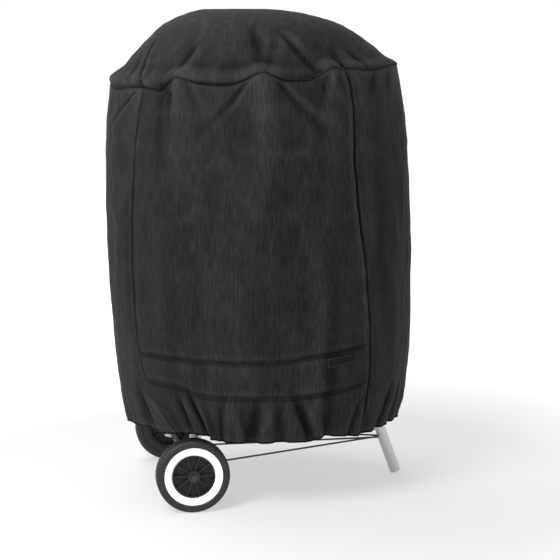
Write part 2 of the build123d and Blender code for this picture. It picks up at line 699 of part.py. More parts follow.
# ---- ash pan between the legs ----
pan_floor = PAN_HEIGHT - PAN_DEPTH
with BuildPart() as ash_pan:
    with BuildSketch(Plane.XZ):
        with BuildLine():
            Polyline(
                (0, pan_floor),
                (PAN_RADIUS - PAN_FLANGE - PAN_SLOPE, pan_floor),
                (PAN_RADIUS - PAN_FLANGE, PAN_HEIGHT - PAN_SHEET),
                (PAN_RADIUS, PAN_HEIGHT - PAN_SHEET),
                (PAN_RADIUS, PAN_HEIGHT),
                (PAN_RADIUS - PAN_FLANGE - 1.0, PAN_HEIGHT),
                (PAN_RADIUS - PAN_FLANGE - PAN_SLOPE - 0.8, pan_floor + PAN_SHEET),
                (0, pan_floor + PAN_SHEET),
                close=True,
            )
        make_face()
    revolve(axis=Axis.Z)
save(ash_pan, "ash_pan")

clip_top = PAN_HEIGHT - PAN_SHEET
with BuildPart() as pan_clips:
    for plane in LEG_PLANES.values():
        climb = (clip_top - plane.origin.Z) / plane.z_dir.Z
        centre = plane.origin + plane.z_dir * climb
        reach = (centre.X**2 + centre.Y**2) ** 0.5
        clip_plane = Plane(
            origin=(0, 0, clip_top), x_dir=(centre.X / reach, centre.Y / reach, 0), z_dir=(0, 0, -1)
        )
        inner = PAN_RADIUS - CLIP_LAP
        outer = reach + LEG_RADIUS + CLIP_WALL
        with BuildSketch(clip_plane):
            with Locations(((inner + outer) / 2, 0)):
                Rectangle(outer - inner, CLIP_WIDTH)
            with Locations((reach, 0)):
                Circle(LEG_RADIUS + CLIP_WALL)
        extrude(amount=CLIP_SHEET)
        with BuildSketch(plane):
            Circle(LEG_RADIUS + GAP)
        extrude(amount=LEG_RUN, mode=Mode.SUBTRACT)
save(pan_clips, "pan_clips")

# ---- fabric cover ----
PANELS = ["front_panel", "right_panel", "back_panel", "left_panel"]
SEAMS = ["seam_tape_front_right", "seam_tape_back_right", "seam_tape_back_left", "seam_tape_front_left"]
panel_span = 360.0 / len(PANELS)

with BuildPart() as crown_panel:
    with BuildSketch(Plane.XZ):
        outer_crown = crown_outline(0.0)
        inner_crown = crown_outline(CLOTH)
        with BuildLine():
            Spline(*outer_crown)
            Spline(*inner_crown)
            Line(outer_crown[0], inner_crown[0])
            Line(outer_crown[-1], inner_crown[-1])
        make_face()
    revolve(axis=Axis.Z)
save(crown_panel, "crown_panel")

wall_section = wall_sketch(0.0, CLOTH)
for index, panel_name in enumerate(PANELS):
    start = FRONT_ANGLE + (index - 0.5) * panel_span
    with BuildPart() as panel:
        add(wall_section)
        revolve(axis=Axis.Z, revolution_arc=panel_span)
    with BuildPart() as placed:
        add(panel.part.rotate(Axis.Z, start))
    save(placed, panel_name)

tape_section = wall_sketch(CLOTH + GAP, CLOTH + GAP + TAPE)
with BuildPart() as tape_wall:
    add(tape_section)
    revolve(axis=Axis.Z)

with BuildPart() as crown_seam_tape:
    add(tape_wall.part)
    add(slab(CROWN_SEAM - TAPE_WIDTH, CROWN_SEAM), mode=Mode.INTERSECT)
save(crown_seam_tape, "crown_seam_tape")

# the band backs the front panel's two double rows of stitches and ends at its seam tapes
band_span = panel_span - 2 * degrees((TAPE_WIDTH / 2 + GAP) / RIM_RADIUS)
with BuildPart() as band_arc:
    add(tape_section)
    revolve(axis=Axis.Z, revolution_arc=band_span)
with BuildPart() as front_band:
    add(band_arc.part.rotate(Axis.Z, FRONT_ANGLE - band_span / 2))
    add(slab(BAND_BOTTOM, BAND_TOP), mode=Mode.INTERSECT)
save(front_band, "front_band")

tape_bottom = COVER_HEM + CASING_HEIGHT + GAP
tape_top = CROWN_SEAM - TAPE_WIDTH - GAP
for index, tape_name in enumerate(SEAMS):
    turn = FRONT_ANGLE + (index + 0.5) * panel_span
    with BuildPart() as seam_tape:
        add(tape_wall.part)
        add(slab(tape_bottom, tape_top), mode=Mode.INTERSECT)
        strip_plane = Plane(
            origin=(0, 0, tape_bottom), x_dir=(cos(radians(turn)), sin(radians(turn)), 0), z_dir=(0, 0, 1)
        )
        with BuildSketch(strip_plane):
            with Locations((200, 0)):
                Rectangle(400, TAPE_WIDTH)
        extrude(amount=tape_top - tape_bottom, mode=Mode.INTERSECT)
    save(seam_tape, tape_name)

hem_inner = SIDE_OUTLINE[0][0] - CLOTH  # inside of the wall at the hem
with BuildPart() as hem_casing:
    with BuildSketch(Plane.XZ):
        with BuildLine():
            Polyline(
                (hem_inner - GAP, COVER_HEM),
                (hem_inner - GAP, COVER_HEM + CASING_WALL),
                (hem_inner - CASING_DEPTH + CASING_WALL, COVER_HEM + CASING_WALL),
                (hem_inner - CASING_DEPTH + CASING_WALL, COVER_HEM + CASING_HEIGHT - CASING_WALL),
                (hem_inner - GAP, COVER_HEM + CASING_HEIGHT - CASING_WALL),
                (hem_inner - GAP, COVER_HEM + CASING_HEIGHT),
                (hem_inner - CASING_DEPTH, COVER_HEM + CASING_HEIGHT),
                (hem_inner - CASING_DEPTH, COVER_HEM),
                close=True,
            )
        make_face()
    revolve(axis=Axis.Z)
save(hem_casing, "hem_casing")

with BuildPart() as hem_elastic:
    with BuildSketch(Plane.XZ):
        elastic_middle = COVER_HEM + CASING_WALL + GAP + ELASTIC_HEIGHT / 2
        with Locations((hem_inner - CASING_DEPTH / 2, elastic_middle)):
            Rectangle(ELASTIC_DEPTH, ELASTIC_HEIGHT)
    revolve(axis=Axis.Z)
save(hem_elastic, "hem_elastic")

label_turn = FRONT_ANGLE + LABEL_TURN
label_out = Vector(cos(radians(label_turn)), sin(radians(label_turn)), 0)
with BuildPart() as woven_label:
    with BuildSketch(Plane(origin=(0, 0, LABEL_CENTRE), x_dir=(-label_out.Y, label_out.X, 0), z_dir=label_out)):
        Rectangle(LABEL_WIDTH, LABEL_HEIGHT)
    extrude(amount=400)
    with BuildPart(mode=Mode.PRIVATE) as label_layer:
        add(wall_sketch(-GAP - LABEL_SHEET, -GAP))
        revolve(axis=Axis.Z)
    add(label_layer.part, mode=Mode.INTERSECT)
save(woven_label, "woven_label")
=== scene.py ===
"""Looks of the kettle grill under its fitted cover: the cover's cloth, its sewing, and every material."""

import json
import math

import bpy
import numpy as np
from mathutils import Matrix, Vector


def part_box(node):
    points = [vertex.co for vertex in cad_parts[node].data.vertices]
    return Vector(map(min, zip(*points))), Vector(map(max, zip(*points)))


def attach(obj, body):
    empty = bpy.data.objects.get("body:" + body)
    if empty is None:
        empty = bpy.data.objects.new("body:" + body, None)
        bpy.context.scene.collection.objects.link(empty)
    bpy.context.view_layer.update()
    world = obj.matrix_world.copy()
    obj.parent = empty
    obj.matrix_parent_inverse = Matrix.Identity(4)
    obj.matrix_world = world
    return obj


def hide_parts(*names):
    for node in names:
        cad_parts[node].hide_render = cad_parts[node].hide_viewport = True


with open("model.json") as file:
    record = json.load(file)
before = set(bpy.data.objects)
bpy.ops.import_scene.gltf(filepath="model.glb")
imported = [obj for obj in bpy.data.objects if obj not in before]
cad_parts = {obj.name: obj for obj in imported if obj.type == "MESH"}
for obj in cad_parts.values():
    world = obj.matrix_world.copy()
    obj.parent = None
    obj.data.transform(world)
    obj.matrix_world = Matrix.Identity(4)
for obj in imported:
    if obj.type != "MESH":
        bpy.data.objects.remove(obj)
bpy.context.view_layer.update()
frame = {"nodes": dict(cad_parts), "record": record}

# ---- places read from the frame, metres ----
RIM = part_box("lid")[1].x  # kettle's radius at its rim
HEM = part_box("front_panel")[0].z
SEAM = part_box("front_panel")[1].z  # crown seam
SEAM_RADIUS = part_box("crown_panel")[1].x
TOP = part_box("crown_panel")[1].z

# ---- where the camera stands, in the row frame ----
CAMERA_TURN = math.radians(-10.4)
CAMERA_REACH = 3.5
CAMERA_HEIGHT = 0.957
CAMERA_PITCH = math.radians(8.32)
CAMERA_ASIDE = 0.0495  # the optical axis passes this far right of the kettle
LENS = 104.4

FLOOR_GLOW = (0.52, 1.25)  # painted light: glow of the floor itself, which is no lamp, under the grill and away from it
# name, place, aim, size and power in watts
LIGHTS = [
    ("key_light", (-1.35, -1.75, 2.05), (0.0, 0.0, 0.75), 1.4, 74.0),
    ("top_light", (-0.8, 1.3, 3.1), (0.0, 0.0, 0.5), 2.6, 50.0),
]

# ---- cover: angles in degrees from the front panel's middle, lengths in metres ----
FRONT_ANGLE = -108.7
VIEW_ANGLE = 8.3  # camera's direction seen from the front panel's middle
PANELS = {"front_panel": 0.0, "right_panel": 90.0, "back_panel": 180.0, "left_panel": 270.0}
CLOTH = 0.0009
# how far the side stands out from the kettle's rim at each share of its height
SIDE_SHAPE = [
    (0.0, 0.0112),
    (0.058, 0.0245),
    (0.168, 0.0365),
    (0.305, 0.0420),
    (0.567, 0.0430),
    (0.787, 0.0350),
    (0.93, 0.0260),
    (1.0, 0.0190),
]
# how far the cover hangs over to the camera's right at each share of its height
SIDE_SWAY = [(0, 0.0095), (0.1, 0.0115), (0.25, 0.0110), (0.45, 0.0070), (0.7, 0.0035), (0.85, 0.0010),
             (1, -0.0040)]
# rise of the crown at each share of its radius, on the camera's left and right
CROWN_LEFT = [(0, 1), (0.25, 1), (0.405, 0.970), (0.546, 0.885), (0.69, 0.715), (0.83, 0.44),
              (0.95, 0.13), (1, 0)]
CROWN_RIGHT = [(0, 1), (0.15, 0.990), (0.3, 0.955), (0.44, 0.890), (0.58, 0.77), (0.72, 0.55),
               (0.86, 0.26), (1, 0)]
SEAM_TILT = 0.0225
SEAM_WAVE = 0.016  # a pull or a sag of the seam that counts as a whole one
CLEAR_OF_KETTLE = 0.0032  # least gap between the cloth's outer face and the kettle's rim
SEAM_TUCK = (0.0026, 0.0020)  # half-width and depth of the valley along the crown seam
# height of the crown seam at angles from the camera's direction: pulled up in peaks, sagging between
SEAM_LINE = [
    (-71, 0.8610),
    (-60, 0.8650),
    (-50, 0.8665),
    (-43, 0.8640),
    (-38, 0.8615),
    (-35.5, 0.8740),
    (-32, 0.8875),
    (-27, 0.8840),
    (-21, 0.8765),
    (-14, 0.8735),
    (-8, 0.8750),
    (-3, 0.8850),
    (1, 0.8965),
    (3.5, 0.9000),
    (6, 0.8945),
    (9, 0.8860),
    (14, 0.8815),
    (18, 0.8820),
    (23, 0.8855),
    (26, 0.8950),
    (29, 0.9050),
    (36, 0.9055),
    (44, 0.9045),
    (52, 0.9015),
    (59, 0.9060),
    (68, 0.9120),
    (90, 0.9050),
    (110, 0.8950),
    (124, 0.9030),
    (141, 0.8880),
    (158, 0.8970),
    (178, 0.8800),
    (196, 0.8890),
    (213, 0.8720),
    (231, 0.8820),
    (249, 0.8640),
    (268, 0.8740),
]
# height of the hem, lifted where it passes over each wheel
HEM_LINE = [
    (-72, 0.1550),
    (-60, 0.1590),
    (-52, 0.1645),
    (-44, 0.1600),
    (-36, 0.1625),
    (-29, 0.1660),
    (-22, 0.1680),
    (-16, 0.1590),
    (-4, 0.1570),
    (10, 0.1575),
    (18, 0.1560),
    (24.5, 0.1550),
    (26.5, 0.1620),
    (34, 0.1595),
    (42, 0.1560),
    (51, 0.1580),
    (58, 0.1590),
    (80, 0.1570),
    (110, 0.1610),
    (140, 0.1565),
    (170, 0.1600),
    (200, 0.1565),
    (217, 0.1600),
    (223, 0.1665),
    (234, 0.1665),
    (245, 0.1600),
    (268, 0.1570),
]
# double rows of stitches across the front panel: middle height of the lower and the upper pair
BAND_LOW = [(-45, 0.2660), (-32, 0.2610), (-23, 0.2515), (-3, 0.2485), (9, 0.2480), (21, 0.2530),
            (45, 0.2790)]
BAND_HIGH = [(-50, 0.3200), (-24, 0.3215), (-4, 0.3212), (8, 0.3235), (16, 0.3310), (25, 0.3360),
             (45, 0.3515)]
BAND_SPREAD = (0.0035, 0.0030)  # half the distance between the rows of the lower and of the upper pair
LABEL_ANGLE, LABEL_HALF, LABEL_LOW, LABEL_HIGH = 34.4, 5.1, 0.3065, 0.3280
LABEL_RISE = 0.0080  # how much higher its right end is sewn
# drift of the two front seams from their straight places at each share of the height, degrees
LEFT_DRIFT = [(0, 19.5), (0.04, 16.0), (0.1, 9.0), (0.155, 5.5), (0.25, 2.0), (0.45, 0.6), (0.63, 0.5),
              (0.82, 1.6), (1, 6.0)]
RIGHT_DRIFT = [(0, 7.6), (0.2, 8.2), (0.3, 7.4), (0.4, 6.2), (0.5, 5.0), (0.6, 3.3), (0.75, 1.9), (0.96, 1.2),
               (1, -0.6)]
BAND_SHARE = 0.2  # share of the height where the drift of the band and label is taken
# dark line in each vertical seam: its angle, how far the line lies past it, half-width, darkness
SEAM_SHADOWS = [
    (-45.0, 0.0, 0.0017, 0.75),
    (135.0, 0.0, 0.0017, 0.75),
    (-135.0, 0.0, 0.0017, 0.75),
    (45.0, 0.0032, 0.0028, 0.95),
]
CROWN_SHADOW = (0.0024, 0.75)  # half-width and darkness of the line along the crown seam
STITCH_SHADOW = (0.0013, 0.45)
# folds that fall from the crown seam: angle at the seam, lean in degrees per metre, reach, depth, half-width
SEAM_FOLDS = [
    (-37.2, 36.0, 0.075, 0.0055, 1.3),
    (-29.5, 120.0, 0.060, 0.0035, 2.0),
    (-2.5, -190.0, 0.085, 0.0040, 1.5),
    (8.0, 150.0, 0.120, 0.0042, 1.7),
    (24.5, 60.0, 0.090, 0.0042, 1.8),
    (29.8, -120.0, 0.065, 0.0035, 1.4),
    (-56.0, -260.0, 0.075, 0.0034, 1.4),
    (-66.0, 170.0, 0.060, 0.0025, 1.6),
    (55.0, -150.0, 0.070, 0.0030, 1.8),
    (64.0, -60.0, 0.060, 0.0030, 1.8),
    (117.0, 60.0, 0.090, 0.0040, 2.0),
    (130.0, -90.0, 0.080, 0.0040, 2.0),
    (165.0, 60.0, 0.090, 0.0040, 2.0),
    (203.0, -60.0, 0.090, 0.0040, 2.0),
    (238.0, 60.0, 0.080, 0.0040, 2.0),
]
# creases of the crown: angle at the seam, lean in degrees per share of radius, inner end, depth, half-width
CROWN_FOLDS = [
    (-48.0, -55.0, 0.72, 0.0065, 1.1),
    (-57.0, -30.0, 0.80, 0.0030, 2.0),
    (-33.0, 18.0, 0.76, 0.0050, 2.2),
    (3.5, -14.0, 0.60, 0.0036, 2.6),
    (3.5, 26.0, 0.70, 0.0030, 2.2),
    (27.0, -48.0, 0.66, 0.0040, 2.0),
    (34.0, 22.0, 0.78, 0.0035, 2.2),
    (50.0, -20.0, 0.80, 0.0035, 2.4),
    (124.0, 18.0, 0.72, 0.0060, 2.4),
    (158.0, -16.0, 0.72, 0.0060, 2.4),
    (196.0, 18.0, 0.72, 0.0060, 2.4),
    (231.0, -16.0, 0.72, 0.0060, 2.4),
]
# deep folds of the gathered skirt: angle at the hem, lean in degrees per metre, depth, half-width
SKIRT_FOLDS = [
    (-25.0, -45.0, 0.0180, 2.0),
    (18.5, -76.0, 0.0150, 1.8),
    (-39.0, 40.0, 0.0100, 2.0),
    (-14.0, 15.0, 0.0050, 1.6),
    (-2.0, 30.0, 0.0080, 2.0),
    (8.0, -20.0, 0.0045, 1.5),
    (33.0, 25.0, 0.0085, 1.7),
    (51.0, 35.0, 0.0095, 1.9),
    (66.0, -30.0, 0.0070, 2.2),
    (-62.0, 20.0, 0.0070, 2.2),
    (96.0, 20.0, 0.0070, 2.4),
    (131.0, -30.0, 0.0070, 2.4),
    (160.0, 20.0, 0.0060, 2.4),
    (207.0, -20.0, 0.0070, 2.4),
    (252.0, 20.0, 0.0060, 2.4),
]


def smooth(x, low, high):
    """0 below low, 1 above high, and a soft step between."""
    t = np.clip((x - low) / (high - low), 0.0, 1.0)
    return t * t * (3.0 - 2.0 * t)


def curve_at(points, x):
    """A smooth curve through (x, y) points, without overshoot."""
    px = np.array([p[0] for p in points], float)
    py = np.array([p[1] for p in points], float)
    slope = np.gradient(py, px)
    x = np.clip(x, px[0], px[-1])
    i = np.clip(np.searchsorted(px, x, side="right") - 1, 0, len(px) - 2)
    h = px[i + 1] - px[i]
    t = (x - px[i]) / h
    a = (2 * t**3 - 3 * t**2 + 1) * py[i] + (t**3 - 2 * t**2 + t) * h * slope[i]
    b = (3 * t**2 - 2 * t**3) * py[i + 1] + (t**3 - t**2) * h * slope[i + 1]
    return a + b


def turned(angle):
    """An angle brought to between -180 and 180 degrees."""
    return (angle + 180.0) % 360.0 - 180.0


def lattice(u, v, cells_u, cells_v, seed):
    """Smooth noise from -1 to 1, periodic in u, where u runs once round in 0 to 1."""
    table = np.random.RandomState(seed).uniform(-1, 1, (cells_v + 3, cells_u))
    x = (u % 1.0) * cells_u
    y = np.clip(v, 0.0, 1.0) * cells_v
    i, j = np.floor(x).astype(int), np.floor(y).astype(int)
    fx, fy = x - i, y - j
    fx, fy = fx**3 * (fx * (fx * 6 - 15) + 10), fy**3 * (fy * (fy * 6 - 15) + 10)
    a, b = table[j, i % cells_u], table[j, (i + 1) % cells_u]
    c, d = table[j + 1, i % cells_u], table[j + 1, (i + 1) % cells_u]
    return (a * (1 - fx) + b * fx) * (1 - fy) + (c * (1 - fx) + d * fx) * fy


def ridged(noise):
    """Turns smooth noise into soft ridges with narrow valleys."""
    return 1.0 - 2.0 * np.abs(noise) ** 0.8


def round_curve(points, angle):
    """A smooth closed curve round the cover through (angle, height) points."""
    whole = [(a - 360.0, h) for a, h in points] + points + [(a + 360.0, h) for a, h in points]
    return curve_at(whole, turned(angle))


def seam_height(view):
    """Height of the crown seam at an angle from the camera's direction."""
    return round_curve(SEAM_LINE, view)


def seam_wave(view):
    """How far the seam is pulled up or sags from its tilted plane, as a share of a whole wave."""
    return (seam_height(view) - SEAM - SEAM_TILT * np.sin(np.radians(view))) / SEAM_WAVE


def hem_height(angle):
    """Height of the hem, which ripples and rises over both wheels."""
    ripple = 0.0013 * lattice(angle / 360.0, angle * 0, 60, 1, 5)
    return round_curve(HEM_LINE, angle - VIEW_ANGLE) + ripple


def seam_drift(angle, share):
    """Shift in degrees of the cloth at a panel angle, largest at the two front seams."""
    left = np.clip(1.0 - np.abs(turned(angle + 45.0)) / 40.0, 0, 1)
    right = np.clip(1.0 - np.abs(turned(angle - 45.0)) / 40.0, 0, 1)
    return left * curve_at(LEFT_DRIFT, share) + right * curve_at(RIGHT_DRIFT, share)


def band_lines(view):
    """Heights of the lower and upper double rows of stitches on the front panel."""
    return curve_at(BAND_LOW, view), curve_at(BAND_HIGH, view)


def seam_arc(angle, seam_angle):
    """Distance round the cover from a vertical seam, positive to its right."""
    return np.radians(turned(angle - seam_angle)) * (RIM + 0.04)


def groove(distance, width, depth):
    """A narrow valley of that half-width and depth."""
    return -depth * np.exp(-((distance / width) ** 2))


def side_relief(angle, share, z):
    """How far the side cloth stands out from its plain shape: bulges, seams, folds and wrinkles."""
    view = turned(angle - VIEW_ANGLE)
    turn, level = angle / 360.0, z / 1.1
    out = np.zeros_like(z)
    # broad softness of a stiff woven cloth
    out += 0.0042 * lattice(turn + 0.01 * level, level, 13, 3, 11)
    out += 0.0026 * lattice(turn + 0.03 * level, level, 31, 7, 12)
    out += 0.0009 * ridged(lattice(turn - 0.05 * level, level, 40, 10, 13))
    out += 0.0006 * lattice(turn + 0.11 * level, level, 120, 40, 14)
    out += 0.0012 * ridged(lattice(turn + 0.16 * level, level, 24, 14, 15)) * smooth(share, 0.45, 0.95)
    out += 0.0006 * ridged(lattice(turn - 0.2 * level, level, 33, 17, 16))
    # folds that fall from the crown seam
    below = np.clip(seam_height(view) - z, 0, None)
    out += 0.0065 * seam_wave(view) * np.exp(-below / 0.045)
    for fold_angle, lean, length, depth, width in SEAM_FOLDS:
        line = turned(view - fold_angle - lean * below)
        fade = np.exp(-((below / length) ** 2)) * smooth(below, 0.0, 0.01)
        spread = width + 12.0 * below
        out += groove(line, spread, depth) * fade
        out += 0.6 * depth * np.exp(-(((line - 1.8 * spread) / spread) ** 2)) * fade
    out += groove(below, SEAM_TUCK[0], SEAM_TUCK[1])
    # vertical seams: a narrow seam on the left and a lapped one on the right
    for seam_angle in (-45.0, 135.0, -135.0):
        arc = seam_arc(angle, seam_angle)
        out += groove(arc, 0.0030, 0.0042) + groove(arc, 0.014, 0.0022)
        out += 0.0012 * np.exp(-(((np.abs(arc) - 0.008) / 0.004) ** 2))
    arc = seam_arc(angle, 45.0)
    deep = 0.85 + 0.15 * smooth(share, 0.05, 0.5) * (1 - smooth(share, 0.93, 1.0))
    out += groove(arc - 0.0040, 0.0042, 0.0210) * deep + groove(arc - 0.012, 0.014, 0.0050) * deep
    out += 0.0036 * np.exp(-(((arc + 0.0065) / 0.0065) ** 2))
    # the band between its double rows of stitches, on the front panel only
    low, high = band_lines(view)
    on_front = smooth(-np.abs(turned(angle)), -44.5, -41.0)
    for line, spread in zip((low, high), BAND_SPREAD):
        for step in (-spread, spread):
            out += groove(z - line - step, 0.0019, 0.0022) * on_front
        out += groove(z - line, 0.009, 0.0012) * on_front
        out += 0.0014 * np.exp(-(((z - line - 0.012) / 0.006) ** 2)) * on_front
    inside = smooth(z, low - 0.002, low + 0.006) * (1 - smooth(z, high - 0.006, high + 0.002))
    out += 0.0014 * inside * on_front
    out += 0.0022 * lattice(turn, level, 60, 2, 17) * inside * on_front
    # gathers of the skirt down to the elastic
    drop = 1.0 - smooth(z, HEM + 0.01, 0.262)
    lean = turn + 0.10 * level * lattice(turn, level, 7, 2, 18)
    out += 0.0056 * ridged(lattice(lean, level, 38, 2, 19)) * drop
    out += 0.0036 * lattice(lean, level, 90, 4, 20) * drop
    out += 0.0020 * ridged(lattice(turn, level, 150, 5, 21)) * drop**2
    for fold_angle, tilt, depth, width in SKIRT_FOLDS:
        line = turned(view - fold_angle - tilt * (z - HEM))
        out += groove(line, width, depth) * (1.0 - smooth(z, 0.20, 0.275))
        out += 0.5 * depth * np.exp(-(((line - 1.9 * width) / width) ** 2)) * (1.0 - smooth(z, 0.2, 0.26))
    return out


def sewn_shadow(angle, share, z):
    """How dark the cloth is where it turns into a seam or is pulled in by stitches, 0 to 1."""
    view = turned(angle + seam_drift(angle, share) - VIEW_ANGLE)
    out = -groove(seam_height(view) - z, *CROWN_SHADOW)
    for seam_angle, middle, width, dark in SEAM_SHADOWS:
        out = np.maximum(out, -groove(seam_arc(angle, seam_angle) - middle, width, dark))
    on_front = smooth(-np.abs(turned(angle)), -44.5, -42.5)
    for line, spread in zip(band_lines(view), BAND_SPREAD):
        for step in (-spread, spread):
            out = np.maximum(out, -groove(z - line - step, *STITCH_SHADOW) * on_front)
    return out


def place(angle, radius, z):
    """Points in the row frame from an angle round the cover, a radius and a height."""
    turn = np.radians(FRONT_ANGLE + angle)
    return np.stack([radius * np.cos(turn), radius * np.sin(turn), z], axis=-1)


def side_points(angle, share, inset=0.0):
    """Points of the side cloth at panel angles and shares of the height, moved inwards by the inset."""
    angle, share = np.broadcast_arrays(np.asarray(angle, float), np.asarray(share, float))
    round_to = angle + seam_drift(angle, share)
    view = round_to - VIEW_ANGLE
    low, high = hem_height(round_to), seam_height(view)
    z = low + share * (high - low)
    radius = RIM + curve_at(SIDE_SHAPE, share)
    radius = radius + curve_at(SIDE_SWAY, share) * np.sin(np.radians(view))
    radius = radius + side_relief(angle, share, z)
    radius = np.maximum(radius, RIM + CLEAR_OF_KETTLE) - inset
    return place(round_to, radius, z)


def crown_points(angle, share, inset=0.0):
    """Points of the crown at panel angles and shares of its radius, 1 at the seam and 0 at the middle."""
    angle, share = np.broadcast_arrays(np.asarray(angle, float), np.asarray(share, float))
    round_to = angle + seam_drift(angle, np.ones_like(angle)) * share
    view = round_to - VIEW_ANGLE
    right = 0.5 + 0.5 * np.sin(np.radians(view))
    rise = curve_at(CROWN_LEFT, share) * (1 - right) + curve_at(CROWN_RIGHT, share) * right
    seam_z = seam_height(view)
    plain_z = SEAM + SEAM_TILT * np.sin(np.radians(view)) * smooth(share, 0.1, 0.9)
    edge = smooth(share, 0.74, 1.0)
    start = plain_z * (1 - edge) + seam_z * edge
    z = start + (TOP - 0.001 - start) * rise
    radius = share * (SEAM_RADIUS + SIDE_SWAY[-1][1] * np.sin(np.radians(view)))
    edge_side = side_points(angle, np.ones_like(angle))
    edge_radius = np.hypot(edge_side[..., 0], edge_side[..., 1]) + SEAM_TUCK[1]
    radius = radius + (edge_radius - radius) * smooth(share, 0.90, 1.0)
    radius = radius + groove((1.0 - share) * SEAM_RADIUS, SEAM_TUCK[0], SEAM_TUCK[1])
    # bulges over each low stretch of the seam, creases over each pulled-up one
    turn = angle / 360.0
    near = smooth(share, 0.66, 0.90) * (1 - smooth(share, 0.90, 1.0))
    out = -0.0050 * seam_wave(view) * near
    mid = smooth(share, 0.06, 0.45)
    out += 0.0042 * lattice(turn, share, 11, 3, 31) * mid * (1 - smooth(share, 0.97, 1.0))
    outer = smooth(share, 0.35, 0.8) * (1 - smooth(share, 0.9, 1.0))
    out += 0.0020 * ridged(lattice(turn, share, 24, 4, 32)) * outer
    out += 0.0006 * lattice(turn, share, 90, 22, 33) * mid
    for fold_angle, lean, reach, depth, width in CROWN_FOLDS:
        line = turned(view - fold_angle - lean * (1.0 - share))
        fade = smooth(share, reach, reach + 0.12) * (1.0 - smooth(share, 0.97, 1.0))
        out += groove(line, width, depth) * fade
        out += 0.5 * depth * np.exp(-(((line - 2.0 * width) / (1.3 * width)) ** 2)) * fade
    for place_angle in (45.0, 135.0, -135.0):
        line = turned(angle - place_angle)
        out += groove(line, 1.8, 0.004) * smooth(share, 0.88, 0.98)
    out = out * (1 - 0.8 * smooth(share, 0.985, 1.0))
    upward = 1.0 - 0.75 * smooth(share, 0.55, 0.95)
    outward = smooth(share, 0.25, 0.85)
    z = z + out * upward - inset * upward
    radius = np.clip(radius + out * outward - inset * outward, 0.0, None)
    sag = np.minimum(z, TOP - 0.0005 - inset)
    return place(round_to, radius, sag)


# ---- mesh helpers ----
def grid_mesh(name, points, uv, wrap=False):
    """A mesh object from a rows by columns grid of points, with a UV map in metres of cloth."""
    rows, cols = points.shape[:2]
    index = np.arange(rows * cols).reshape(rows, cols)
    right = np.roll(index, -1, axis=1) if wrap else index[:, 1:]
    left = index if wrap else index[:, :-1]
    quads = np.stack([left[:-1], right[:-1], right[1:], left[1:]], axis=-1).reshape(-1, 4)
    mesh = bpy.data.meshes.new(name)
    mesh.from_pydata(points.reshape(-1, 3).tolist(), [], quads.tolist())
    layer = mesh.uv_layers.new(name="cloth")
    loops = np.zeros(len(mesh.loops), np.int64)
    mesh.loops.foreach_get("vertex_index", loops)
    layer.data.foreach_set("uv", uv.reshape(-1, 2)[loops].astype(np.float32).ravel())
    mesh.polygons.foreach_set("use_smooth", np.ones(len(mesh.polygons), bool))
    made = bpy.data.objects.new(name, mesh)
    bpy.context.scene.collection.objects.link(made)
    return made


def blurred(values, reach, wrap):
    """Values of a grid averaged over a square of cells, closed round in its columns if wrapped."""
    for axis in (0, 1):
        mode = "wrap" if wrap and axis == 1 else "edge"
        pad = [(reach, reach) if axis == k else (0, 0) for k in (0, 1)]
        summed = np.cumsum(np.pad(values, pad, mode=mode), axis=axis)
        zero = np.zeros_like(np.take(summed, [0], axis=axis))
        summed = np.concatenate([zero, summed], axis=axis)
        size = values.shape[axis]
        high = np.take(summed, np.arange(size) + 2 * reach + 1, axis=axis)
        values = (high - np.take(summed, np.arange(size), axis=axis)) / (2 * reach + 1)
    return values


def paint_fold_shade(piece, points, shadow, wrap=False):
    """Stores each point's level for the cloth's colour, painted shade and highlight: 0.5 is flat cloth, 0 a deep
    fold or a seam in painted shade, above 0.5 a ridge with painted highlight.
    """
    away = np.linalg.norm(points - np.array([0.0, 0.0, 0.62]), axis=-1)
    depth = 0.0
    for reach, share in ((3, 0.6), (9, 0.4)):
        depth = depth + share * (away - blurred(blurred(away, reach, wrap), reach, wrap))
    level = np.clip(0.5 + depth / 0.0050, 0.0, 1.0) * (1.0 - shadow)
    layer = piece.data.attributes.new("fold", "FLOAT", "POINT")
    whole = np.full(len(piece.data.vertices), 0.5, np.float32)
    whole[: level.size] = level.ravel()
    layer.data.foreach_set("value", whole)


def thicken(piece, thickness, offset=-1.0):
    """Gives a sheet its thickness, and applies it."""
    change = piece.modifiers.new("thickness", "SOLIDIFY")
    change.thickness = thickness
    change.offset = offset
    change.use_even_offset = False
    bpy.context.view_layer.objects.active = piece
    with bpy.context.temp_override(object=piece, active_object=piece):
        bpy.ops.object.modifier_apply(modifier=change.name)
    return piece


def dress(piece, material, body, slot, *nodes):
    """Gives a piece its material, its body and the CAD nodes that it stands for. The slot argument is not used."""
    piece.data.materials.clear()
    piece.data.materials.append(material)
    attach(piece, body)
    if nodes:
        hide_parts(*nodes)
    return piece


def cloth_uv(angle, height):
    """UV in metres: round the cover and up it."""
    angle, height = np.broadcast_arrays(angle, height)
    return np.stack([np.radians(angle) * (RIM + 0.03), height], axis=-1)


# ---- materials ----
def new_material(name):
    """An empty node material and its nodes, links and surface shader."""
    material = bpy.data.materials.new(name)
    material.use_nodes = True
    nodes, links = material.node_tree.nodes, material.node_tree.links
    return material, nodes, links, nodes["Principled BSDF"]


def noise_node(nodes, links, vector, scale, detail=3.0, rough=0.55):
    """A noise texture at a scale."""
    made = nodes.new("ShaderNodeTexNoise")
    made.inputs["Scale"].default_value = scale
    made.inputs["Detail"].default_value = detail
    made.inputs["Roughness"].default_value = rough
    links.new(vector, made.inputs["Vector"])
    return made


def stretch(nodes, links, vector, scale):
    """The same coordinates with each axis scaled."""
    made = nodes.new("ShaderNodeMapping")
    made.inputs["Scale"].default_value = scale
    links.new(vector, made.inputs["Vector"])
    return made.outputs["Vector"]


